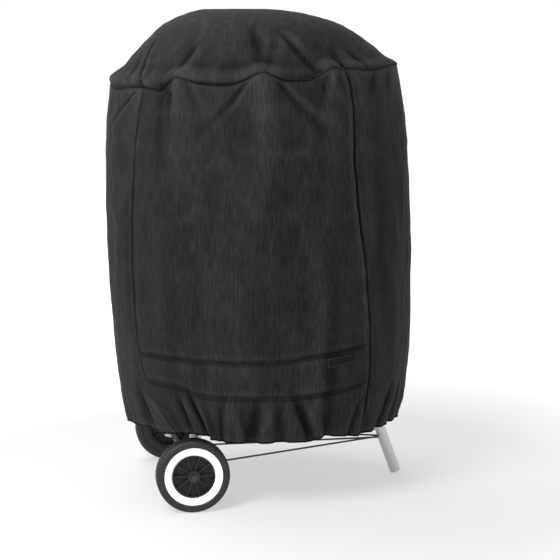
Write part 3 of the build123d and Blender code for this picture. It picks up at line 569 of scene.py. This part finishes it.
def mix_colour(nodes, links, factor, dark, light):
    """A colour between two, by a factor."""
    made = nodes.new("ShaderNodeMix")
    made.data_type = "RGBA"
    made.inputs["A"].default_value = (*dark, 1)
    made.inputs["B"].default_value = (*light, 1)
    links.new(factor, made.inputs["Factor"])
    return made.outputs["Result"]


def arithmetic(nodes, links, kind, a, b):
    """One arithmetic node on two values or sockets."""
    made = nodes.new("ShaderNodeMath")
    made.operation = kind
    for place_index, value in enumerate((a, b)):
        if isinstance(value, (int, float)):
            made.inputs[place_index].default_value = value
        else:
            links.new(value, made.inputs[place_index])
    return made.outputs[0]


def remap(nodes, links, value, low, high, to_low, to_high):
    """A value mapped from one range to another, clamped."""
    made = nodes.new("ShaderNodeMapRange")
    made.inputs["From Min"].default_value = low
    made.inputs["From Max"].default_value = high
    made.inputs["To Min"].default_value = to_low
    made.inputs["To Max"].default_value = to_high
    links.new(value, made.inputs["Value"])
    return made.outputs["Result"]


def bump_node(nodes, links, height, distance, strength=1.0):
    """A bump of that distance in metres, to plug into a Normal."""
    made = nodes.new("ShaderNodeBump")
    made.inputs["Distance"].default_value = distance
    made.inputs["Strength"].default_value = strength
    links.new(height, made.inputs["Height"])
    return made


def woven_cloth(name, dark, light, pitch=0.0011, rough=0.8, sheen=0.015, folds=False):
    """A plain-woven synthetic cloth: crossing yarns, slubs along the warp and soft handling marks."""
    material, nodes, links, shader = new_material(name)
    where = nodes.new("ShaderNodeTexCoord").outputs["UV"]
    waves = []
    for axis in ("X", "Y"):
        yarn = nodes.new("ShaderNodeTexWave")
        yarn.wave_type = "BANDS"
        yarn.bands_direction = axis
        yarn.inputs["Scale"].default_value = 1.0 / pitch / 2.0 / math.pi
        yarn.inputs["Distortion"].default_value = 0.35
        yarn.inputs["Detail"].default_value = 1.0
        links.new(where, yarn.inputs["Vector"])
        waves.append(yarn.outputs["Fac"])
    weave = arithmetic(nodes, links, "MULTIPLY", waves[0], waves[1])
    slub = noise_node(nodes, links, stretch(nodes, links, where, (1.0, 0.045, 1.0)), 330.0, 2.0, 0.6)
    pick = noise_node(nodes, links, stretch(nodes, links, where, (0.06, 1.0, 1.0)), 420.0, 2.0, 0.6)
    broad = noise_node(nodes, links, where, 5.5, 4.0, 0.6)
    rib = noise_node(nodes, links, stretch(nodes, links, where, (1.0, 0.12, 1.0)), 260.0, 1.0, 0.5)
    ticks = remap(nodes, links, rib.outputs["Fac"], 0.38, 0.62, 0.0, 1.0)
    yarns = arithmetic(nodes, links, "ADD", slub.outputs["Fac"], pick.outputs["Fac"])
    tone = arithmetic(nodes, links, "ADD", arithmetic(nodes, links, "MULTIPLY", yarns, 0.24),
                      arithmetic(nodes, links, "MULTIPLY", ticks, 0.24))
    tone = arithmetic(nodes, links, "ADD", tone, arithmetic(nodes, links, "MULTIPLY", broad.outputs["Fac"], 0.45))
    tone = arithmetic(nodes, links, "ADD", tone, arithmetic(nodes, links, "MULTIPLY", weave, 0.12))
    factor = remap(nodes, links, tone, 0.36, 0.92, 0.0, 1.0)
    colour = mix_colour(nodes, links, factor, dark, light)
    # painted shade and highlight: the stored level darkens the colour in folds and seams and lightens it on ridges
    if folds:
        mark = nodes.new("ShaderNodeAttribute")
        mark.attribute_name = "fold"
        depth = mark.outputs["Fac"]
        shade = nodes.new("ShaderNodeMix")
        shade.data_type = "RGBA"
        shade.blend_type = "MULTIPLY"
        shade.inputs["Factor"].default_value = 1.0
        links.new(colour, shade.inputs["A"])
        level = mix_colour(nodes, links, depth, (0.30, 0.30, 0.30), (1.70, 1.70, 1.70))
        links.new(level, shade.inputs["B"])
        colour = shade.outputs["Result"]
    links.new(colour, shader.inputs["Base Color"])
    links.new(remap(nodes, links, tone, 0.4, 1.1, rough - 0.08, rough + 0.06), shader.inputs["Roughness"])
    height = arithmetic(nodes, links, "ADD", weave, arithmetic(nodes, links, "MULTIPLY", yarns, 0.5))
    fine = bump_node(nodes, links, height, 0.00022, 0.55)
    crumple = noise_node(nodes, links, stretch(nodes, links, where, (1.0, 0.6, 1.0)), 34.0, 5.0, 0.62)
    soft = bump_node(nodes, links, crumple.outputs["Fac"], 0.0016, 0.35)
    ribs = bump_node(nodes, links, ticks, 0.0003, 0.6)
    links.new(soft.outputs["Normal"], ribs.inputs["Normal"])
    links.new(ribs.outputs["Normal"], fine.inputs["Normal"])
    links.new(fine.outputs["Normal"], shader.inputs["Normal"])
    shader.inputs["Sheen Weight"].default_value = sheen
    shader.inputs["Sheen Roughness"].default_value = 0.5
    shader.inputs["Specular IOR Level"].default_value = 0.07
    return material


def moulded(name, dark, light, rough, grain=900.0, depth=0.00012, marks=0.1):
    """Moulded plastic or rubber: fine grain, faint flow marks and scuffs."""
    material, nodes, links, shader = new_material(name)
    where = nodes.new("ShaderNodeTexCoord").outputs["Object"]
    fine = noise_node(nodes, links, where, grain, 3.0, 0.6)
    broad = noise_node(nodes, links, where, 22.0, 4.0, 0.65)
    scuff = noise_node(nodes, links, stretch(nodes, links, where, (1.0, 1.0, 6.0)), 70.0, 6.0, 0.7)
    tone = arithmetic(nodes, links, "ADD", arithmetic(nodes, links, "MULTIPLY", fine.outputs["Fac"], 0.4),
                      arithmetic(nodes, links, "MULTIPLY", broad.outputs["Fac"], 0.6))
    links.new(mix_colour(nodes, links, remap(nodes, links, tone, 0.3, 0.7, 0, 1), dark, light),
              shader.inputs["Base Color"])
    worn = remap(nodes, links, scuff.outputs["Fac"], 0.45, 0.72, rough, rough + marks)
    links.new(worn, shader.inputs["Roughness"])
    bump = bump_node(nodes, links, fine.outputs["Fac"], depth, 0.6)
    links.new(bump.outputs["Normal"], shader.inputs["Normal"])
    return material


def metal(name, colour, rough, brushed=(1.0, 1.0, 0.03), grain=520.0, metallic=1.0):
    """Drawn, brushed or plated metal with streaks along its length and faint handling haze."""
    material, nodes, links, shader = new_material(name)
    where = nodes.new("ShaderNodeTexCoord").outputs["Object"]
    streak = noise_node(nodes, links, stretch(nodes, links, where, brushed), grain, 3.0, 0.6)
    haze = noise_node(nodes, links, where, 30.0, 4.0, 0.6)
    dark = tuple(0.86 * c for c in colour)
    tone = arithmetic(nodes, links, "ADD", arithmetic(nodes, links, "MULTIPLY", streak.outputs["Fac"], 0.6),
                      arithmetic(nodes, links, "MULTIPLY", haze.outputs["Fac"], 0.4))
    links.new(mix_colour(nodes, links, remap(nodes, links, tone, 0.35, 0.65, 0, 1), dark, colour),
              shader.inputs["Base Color"])
    links.new(remap(nodes, links, tone, 0.3, 0.7, rough - 0.06, rough + 0.08), shader.inputs["Roughness"])
    bump = bump_node(nodes, links, streak.outputs["Fac"], 0.00004, 0.5)
    links.new(bump.outputs["Normal"], shader.inputs["Normal"])
    shader.inputs["Metallic"].default_value = metallic
    return material


def enamel(name, colour):
    """Glossy porcelain enamel with a faint orange-peel surface and fine specks."""
    material, nodes, links, shader = new_material(name)
    where = nodes.new("ShaderNodeTexCoord").outputs["Object"]
    speck = noise_node(nodes, links, where, 700.0, 2.0, 0.5)
    peel = noise_node(nodes, links, where, 160.0, 2.0, 0.5)
    light = tuple(min(1.0, 2.2 * c + 0.01) for c in colour)
    links.new(mix_colour(nodes, links, remap(nodes, links, speck.outputs["Fac"], 0.66, 0.74, 0, 1), colour, light),
              shader.inputs["Base Color"])
    links.new(remap(nodes, links, peel.outputs["Fac"], 0.3, 0.7, 0.10, 0.2), shader.inputs["Roughness"])
    bump = bump_node(nodes, links, peel.outputs["Fac"], 0.00012, 0.5)
    links.new(bump.outputs["Normal"], shader.inputs["Normal"])
    shader.inputs["Coat Weight"].default_value = 0.4
    shader.inputs["Coat Roughness"].default_value = 0.08
    return material


def make_materials():
    """One material for each slot of the record."""
    return {
        "cover_cloth": woven_cloth("cover_cloth", (0.0072, 0.0073, 0.0076), (0.0215, 0.0218, 0.0223), folds=True),
        "binding_tape": woven_cloth("binding_tape", (0.009, 0.009, 0.0094), (0.018, 0.018, 0.0186), 0.0016),
        "elastic": woven_cloth("elastic", (0.04, 0.04, 0.04), (0.065, 0.065, 0.065), 0.0013),
        "label_weave": woven_cloth("label_weave", (0.004, 0.004, 0.0045), (0.008, 0.008, 0.009), 0.0006, 0.5),
        "stitching": woven_cloth("stitching", (0.017, 0.017, 0.0175), (0.032, 0.032, 0.0325), 0.0005, 0.6),
        "label_thread": woven_cloth("label_thread", (0.07, 0.07, 0.075), (0.11, 0.11, 0.115), 0.0005, 0.6),
        "black_enamel": enamel("black_enamel", (0.010, 0.010, 0.011)),
        "handle_plastic": moulded("handle_plastic", (0.012, 0.012, 0.012), (0.024, 0.024, 0.024), 0.45),
        "bright_steel": metal("bright_steel", (0.62, 0.62, 0.63), 0.26),
        "plated_wire": metal("plated_wire", (0.72, 0.72, 0.74), 0.16),
        "aluminium_sheet": metal("aluminium_sheet", (0.80, 0.80, 0.81), 0.34, (1.0, 0.04, 1.0)),
        "leg_aluminium": metal("leg_aluminium", (0.54, 0.54, 0.55), 0.38, (1.0, 1.0, 0.03), 420.0),
        "rack_wire": moulded("rack_wire", (0.035, 0.036, 0.037), (0.06, 0.06, 0.062), 0.32, 500.0, 0.00005),
        "cap_plastic": moulded("cap_plastic", (0.014, 0.014, 0.015), (0.024, 0.024, 0.025), 0.4),
        "wheel_black": moulded("wheel_black", (0.005, 0.005, 0.0053), (0.011, 0.011, 0.0115), 0.6, 1100.0, 0.0002),
        "wheel_white": moulded("wheel_white", (0.80, 0.80, 0.79), (0.88, 0.88, 0.875), 0.33, 600.0, 0.00003, 0.06),
    }


# ---- cover pieces ----
def side_panel(name, middle, material):
    """One quarter of the cover's side, from the hem up to the crown seam, finest beside its seams."""
    cols, rows = (220, 280) if name == "front_panel" else (140, 170)
    across = np.linspace(-1.0, 1.0, cols)[None, :]
    angle = middle + 45.0 * (1.25 * across - 0.25 * across**3)
    up = np.linspace(-1.0, 1.0, rows)[:, None]
    share = 0.5 + 0.5 * (1.25 * up - 0.25 * up**3)
    points = side_points(angle, share)
    made = grid_mesh(name + "_cloth", points, cloth_uv(angle, points[..., 2]))
    angles, shares = np.broadcast_arrays(angle, share)
    paint_fold_shade(made, points, sewn_shadow(angles, shares, points[..., 2]))
    thicken(made, CLOTH)
    return dress(made, material, "cover", "cover_cloth", name)


def crown(material):
    """The crown's cloth, from the seam up over the kettle's lid handle."""
    cols, rows = 480, 110
    angle = np.linspace(-180.0, 180.0, cols, endpoint=False)[None, :]
    share = 1.0 - 0.996 * np.linspace(0.0, 1.0, rows)[:, None] ** 1.25
    points = crown_points(angle, share)
    flat = place(angle + 0 * share, share * 0.36 + 0 * angle, 0 * share + 0 * angle)
    made = grid_mesh("crown_cloth", points, flat[..., :2], wrap=True)
    # painted shade along the crown seam, stored with the crown's level for its colour
    crown_seam_shade = -groove((1.0 - share) * SEAM_RADIUS, *CROWN_SHADOW) + 0 * angle
    paint_fold_shade(made, points, crown_seam_shade, wrap=True)
    cap = bpy.data.meshes.new("crown_middle")
    ring = points[-1]
    middle = ring.mean(axis=0)
    corners = ring.tolist() + [middle.tolist()]
    faces = [(i, (i + 1) % cols, cols) for i in range(cols)]
    cap.from_pydata(corners, [], faces)
    cap.uv_layers.new(name="cloth")
    cap.polygons.foreach_set("use_smooth", np.ones(cols, bool))
    disc = bpy.data.objects.new("crown_middle", cap)
    bpy.context.scene.collection.objects.link(disc)
    with bpy.context.temp_override(
        object=made, active_object=made, selected_objects=[made, disc], selected_editable_objects=[made, disc]
    ):
        bpy.ops.object.join()
    weld = made.modifiers.new("weld", "WELD")
    weld.merge_threshold = 0.00002
    with bpy.context.temp_override(object=made, active_object=made):
        bpy.ops.object.modifier_apply(modifier=weld.name)
    thicken(made, CLOTH)
    return dress(made, material, "cover", "cover_cloth", "crown_panel")


def ring_strip(name, point_sets, material, slot, *nodes, wrap=True, angles=None):
    """A strip of cloth through rows of points, with its thickness."""
    points = np.stack(point_sets)
    rows = np.arange(len(point_sets))[:, None] * 0.004
    made = grid_mesh(name, points, cloth_uv(angles[None, :], rows), wrap=wrap)
    thicken(made, 0.0008)
    return dress(made, material, "cover", slot, *nodes)


def hem_roll(material):
    """The turned-under hem: a soft roll below the cloth's edge and its leaf up the inside."""
    angle = np.linspace(-180.0, 180.0, 900, endpoint=False)
    pucker = 0.0006 * lattice(angle / 360.0, angle * 0, 300, 1, 41)
    rows = []
    edge = side_points(angle, np.zeros_like(angle))
    radius = np.hypot(edge[:, 0], edge[:, 1])
    turn = np.degrees(np.arctan2(edge[:, 1], edge[:, 0])) - FRONT_ANGLE
    for step in np.linspace(0.0, math.pi, 9):
        inward = 0.0032 * (1.0 - math.cos(step))
        down = 0.0032 * math.sin(step)
        rows.append(place(turn, np.maximum(radius - inward + pucker, RIM + 0.0014), edge[:, 2] - down))
    for climb in (0.004, 0.009, 0.014, 0.019):
        slack = 0.0064 - 0.0046 * (climb / 0.019) ** 2
        rows.append(place(turn, np.maximum(radius - slack, RIM + 0.0014), edge[:, 2] + climb))
    return ring_strip("hem_roll", rows, material, "cover_cloth", "hem_casing", angles=angle)


def elastic(material):
    """The elastic that lies inside the hem."""
    angle = np.linspace(-180.0, 180.0, 600, endpoint=False)
    edge = side_points(angle, np.zeros_like(angle))
    radius = np.hypot(edge[:, 0], edge[:, 1])
    turn = np.degrees(np.arctan2(edge[:, 1], edge[:, 0])) - FRONT_ANGLE
    inside = np.maximum(radius - 0.0036, RIM + 0.0028)
    rows = [place(turn, inside, edge[:, 2] + climb) for climb in (0.0, 0.004, 0.008)]
    return ring_strip("elastic_band", rows, material, "elastic", "hem_elastic", angles=angle)


def inner_tapes(material):
    """Bindings inside the crown seam, the vertical seams and behind the front band."""
    made = []
    angle = np.linspace(-180.0, 180.0, 720, endpoint=False)
    rows = [side_points(angle, np.full_like(angle, share), 0.0017) for share in np.linspace(0.967, 0.999, 8)]
    made.append(ring_strip("crown_seam_binding", rows, material, "binding_tape", "crown_seam_tape", angles=angle))
    places = {"front_right": 45.0, "back_right": 135.0, "back_left": 225.0, "front_left": 315.0}
    for name, middle in places.items():
        across = middle + np.linspace(-2.0, 2.0, 9)
        rows = [side_points(across, np.full_like(across, share), 0.0019) for share in np.linspace(0.035, 0.962, 120)]
        made.append(ring_strip("seam_binding_" + name, rows, material, "binding_tape", "seam_tape_" + name,
                               wrap=False, angles=across))
    across = np.linspace(-42.5, 42.5, 240)
    round_to = across + seam_drift(across, np.full_like(across, BAND_SHARE))
    low, high = band_lines(round_to - VIEW_ANGLE)
    rows = []
    for part in np.linspace(-0.08, 1.08, 14):
        z = low + part * (high - low)
        hem_z, seam_z = hem_height(round_to), seam_height(round_to - VIEW_ANGLE)
        rows.append(side_points(across, (z - hem_z) / (seam_z - hem_z), 0.0019))
    made.append(ring_strip("front_band_lining", rows, material, "binding_tape", "front_band",
                           wrap=False, angles=across))
    return made


def stitch_row(points, normals, pitch=0.0046, length=0.0034, radius=0.00042):
    """Vertices and faces of a row of stitches along a line of points, each a small lozenge of thread."""
    steps = np.linalg.norm(np.diff(points, axis=0), axis=1)
    along = np.concatenate([[0.0], np.cumsum(steps)])
    centres = np.arange(pitch, along[-1], pitch)
    vertices, faces = [], []
    for centre in centres:
        ends = [np.array([np.interp(centre + d, along, points[:, k]) for k in range(3)])
                for d in (-length / 2, -length / 4, length / 4, length / 2)]
        up = np.array([np.interp(centre, along, normals[:, k]) for k in range(3)])
        up /= np.linalg.norm(up)
        run = ends[3] - ends[0]
        across = np.cross(run / np.linalg.norm(run), up)
        start = len(vertices)
        for end, swell in zip(ends, (0.35, 1.0, 1.0, 0.35)):
            for corner in range(6):
                turn = corner * math.pi / 3
                vertices.append(end + radius * swell * (math.cos(turn) * across + math.sin(turn) * up))
        for ring in range(3):
            for corner in range(6):
                a = start + ring * 6 + corner
                b = start + ring * 6 + (corner + 1) % 6
                faces.append((a, b, b + 6, a + 6))
        faces.append(tuple(start + k for k in range(5, -1, -1)))
        faces.append(tuple(start + 18 + k for k in range(6)))
    return vertices, faces


def outward(points):
    """Directions straight away from the cover's axis."""
    flat = points * np.array([1.0, 1.0, 0.0])
    return flat / np.linalg.norm(flat, axis=1, keepdims=True)


def topstitching(material):
    """Rows of stitches beside the crown seam, the vertical seams, the band and the hem."""
    lines = []
    angle = np.linspace(-180.0, 180.0, 900)
    crown_row = crown_points(angle, np.full_like(angle, 0.984))
    lines.append((crown_row, outward(crown_row) + np.array([0, 0, 0.6])))
    hem_line = side_points(angle, np.full_like(angle, 0.026))
    lines.append((hem_line, outward(hem_line)))
    for middle, step in ((-45.0, 1.15), (45.0, -1.35), (135.0, 1.15), (-135.0, 1.15)):
        share = np.linspace(0.03, 0.985, 400)
        seam_line = side_points(np.full_like(share, middle + step), share)
        lines.append((seam_line, outward(seam_line)))
    across = np.linspace(-42.8, 42.8, 300)
    round_to = across + seam_drift(across, np.full_like(across, BAND_SHARE))
    hem_z, seam_z = hem_height(round_to), seam_height(round_to - VIEW_ANGLE)
    for line, spread in zip(band_lines(round_to - VIEW_ANGLE), BAND_SPREAD):
        for step in (-spread, spread):
            row = side_points(across, (line + step - hem_z) / (seam_z - hem_z))
            lines.append((row, outward(row)))
    vertices, faces = [], []
    for points, normals in lines:
        some, sides = stitch_row(points + 0.0002 * normals, normals)
        faces += [tuple(k + len(vertices) for k in side) for side in sides]
        vertices += some
    mesh = bpy.data.meshes.new("topstitching")
    mesh.from_pydata([tuple(v) for v in vertices], [], faces)
    mesh.uv_layers.new(name="cloth")
    mesh.polygons.foreach_set("use_smooth", np.ones(len(mesh.polygons), bool))
    made = bpy.data.objects.new("topstitching", mesh)
    bpy.context.scene.collection.objects.link(made)
    return dress(made, material, "cover", "cover_cloth")


def label(weave, thread):
    """A small blank woven label, sewn on by its edges, with a plain raised border."""
    cols, rows = 60, 26
    angle = np.linspace(LABEL_ANGLE - LABEL_HALF, LABEL_ANGLE + LABEL_HALF, cols)
    round_to = angle + seam_drift(angle, np.full_like(angle, BAND_SHARE))
    lift = np.linspace(0.0, 1.0, rows)
    points = []
    for part in lift:
        along = (angle - LABEL_ANGLE) / (2 * LABEL_HALF) + 0.5
        z = LABEL_LOW + part * (LABEL_HIGH - LABEL_LOW) + LABEL_RISE * along
        hem_z, seam_z = hem_height(round_to), seam_height(round_to - VIEW_ANGLE)
        points.append(side_points(angle, (z - hem_z) / (seam_z - hem_z), -0.0013))
    points = np.stack(points)
    uv = cloth_uv(angle[None, :], (lift * (LABEL_HIGH - LABEL_LOW))[:, None])
    across, up = np.meshgrid(np.linspace(0, 1, cols), lift)
    edge = np.minimum(np.minimum(across, 1 - across) * 2.6, np.minimum(up, 1 - up))
    raised = 0.0005 * np.exp(-(((edge - 0.14) / 0.035) ** 2)) - 0.0009 * (1 - smooth(edge, 0.0, 0.06))
    flat = outward(points.reshape(-1, 3)).reshape(points.shape)
    made = grid_mesh("label_cloth", points + flat * raised[..., None], uv)
    thicken(made, 0.0006)
    made.data.materials.clear()
    dress(made, weave, "cover", "label_weave", "woven_label")
    border = points[3:-3, 3:-3]
    loop = np.concatenate([border[0], border[:, -1], border[-1][::-1], border[::-1, 0]])
    vertices, faces = stitch_row(loop + 0.0006 * outward(loop), outward(loop), 0.0021, 0.0017, 0.00028)
    mesh = bpy.data.meshes.new("label_border")
    mesh.from_pydata([tuple(v) for v in vertices], [], faces)
    mesh.uv_layers.new(name="cloth")
    edging = bpy.data.objects.new("label_border", mesh)
    bpy.context.scene.collection.objects.link(edging)
    dress(edging, thread, "cover", "label_weave")
    return made, edging


def build_cover(materials):
    """All of the cover's pieces, each in the material of the cloth it was cut from."""
    cloth = materials["cover_cloth"]
    panels = {name: side_panel(name, middle, cloth) for name, middle in PANELS.items()}
    top = crown(cloth)
    roll = hem_roll(cloth)
    band = elastic(materials["elastic"])
    tapes = inner_tapes(materials["binding_tape"])
    stitches = topstitching(materials["stitching"])
    patch, edging = label(materials["label_weave"], materials["label_thread"])


# ---- the grill's own materials ----
def paint_frame(materials):
    """Every shown CAD node gets the material of its record slot."""
    slots = {row["node"]: row["material_slot"] for row in frame["record"]["subparts"]}
    for name, node in frame["nodes"].items():
        node.data.materials.clear()
        node.data.materials.append(materials[slots[name]])
        node.data.polygons.foreach_set("use_smooth", np.ones(len(node.data.polygons), bool))


# ---- studio ----
def studio():
    """Pale floor that glows with painted light, even white surround and a large soft light high on the left."""
    world = bpy.data.worlds.new("surround")
    bpy.context.scene.world = world
    world.use_nodes = True
    nodes, links = world.node_tree.nodes, world.node_tree.links
    where = nodes.new("ShaderNodeTexCoord").outputs["Generated"]
    parts = nodes.new("ShaderNodeSeparateXYZ")
    links.new(where, parts.inputs[0])
    overhead = remap(nodes, links, parts.outputs["Z"], 0.28, 0.6, 0.0, 1.0)
    shade = mix_colour(nodes, links, overhead, (1.0, 1.0, 1.0), (0.30, 0.30, 0.30))
    links.new(shade, nodes["Background"].inputs["Color"])
    nodes["Background"].inputs["Strength"].default_value = 1.0
    cols = 64
    spread = 8.0
    turns = [2 * math.pi * i / cols for i in range(cols)]
    corners = [(spread * math.cos(turn), spread * math.sin(turn), -0.0004) for turn in turns]
    mesh = bpy.data.meshes.new("studio_floor")
    mesh.from_pydata(corners, [], [tuple(range(cols))])
    floor = bpy.data.objects.new("studio_floor", mesh)
    bpy.context.scene.collection.objects.link(floor)
    material, nodes, links, shader = new_material("glowing_floor")
    where = nodes.new("ShaderNodeTexCoord").outputs["Object"]
    mottle = noise_node(nodes, links, where, 2.0, 3.0)
    links.new(mix_colour(nodes, links, mottle.outputs["Fac"], (0.34, 0.34, 0.34), (0.36, 0.36, 0.36)),
              shader.inputs["Base Color"])
    shader.inputs["Roughness"].default_value = 0.9
    away = nodes.new("ShaderNodeVectorMath")
    away.operation = "LENGTH"
    links.new(where, away.inputs[0])
    # painted light: the floor itself glows, weaker under the grill and stronger away from it
    shader.inputs["Emission Color"].default_value = (1.0, 1.0, 1.0, 1.0)
    glow = remap(nodes, links, away.outputs["Value"], 0.7, 2.4, FLOOR_GLOW[0], FLOOR_GLOW[1])
    links.new(glow, shader.inputs["Emission Strength"])
    mesh.materials.append(material)
    for name, spot, aim, size, power in LIGHTS:
        lamp = bpy.data.lights.new(name, "AREA")
        lamp.shape = "DISK"
        lamp.size = size
        lamp.energy = power
        holder = bpy.data.objects.new(name, lamp)
        holder.location = spot
        holder.rotation_euler = (Vector(aim) - Vector(spot)).to_track_quat("-Z", "Y").to_euler()
        bpy.context.scene.collection.objects.link(holder)


def camera():
    """A long lens standing off the grill's front, a little to its left."""
    ahead = Vector((-math.sin(CAMERA_TURN), math.cos(CAMERA_TURN), 0.0))
    right = Vector((ahead.y, -ahead.x, 0.0))
    lens = bpy.data.cameras.new("camera")
    lens.sensor_width = 36.0
    lens.lens = LENS
    lens.clip_end = 50.0
    holder = bpy.data.objects.new("camera", lens)
    holder.location = right * CAMERA_ASIDE - ahead * CAMERA_REACH + Vector((0, 0, CAMERA_HEIGHT))
    sight = ahead * math.cos(CAMERA_PITCH) - Vector((0, 0, math.sin(CAMERA_PITCH)))
    holder.rotation_euler = sight.to_track_quat("-Z", "Y").to_euler()
    bpy.context.scene.collection.objects.link(holder)
    bpy.context.scene.camera = holder


bpy.context.scene.view_settings.view_transform = "Standard"
all_materials = make_materials()
paint_frame(all_materials)
build_cover(all_materials)
studio()
camera()
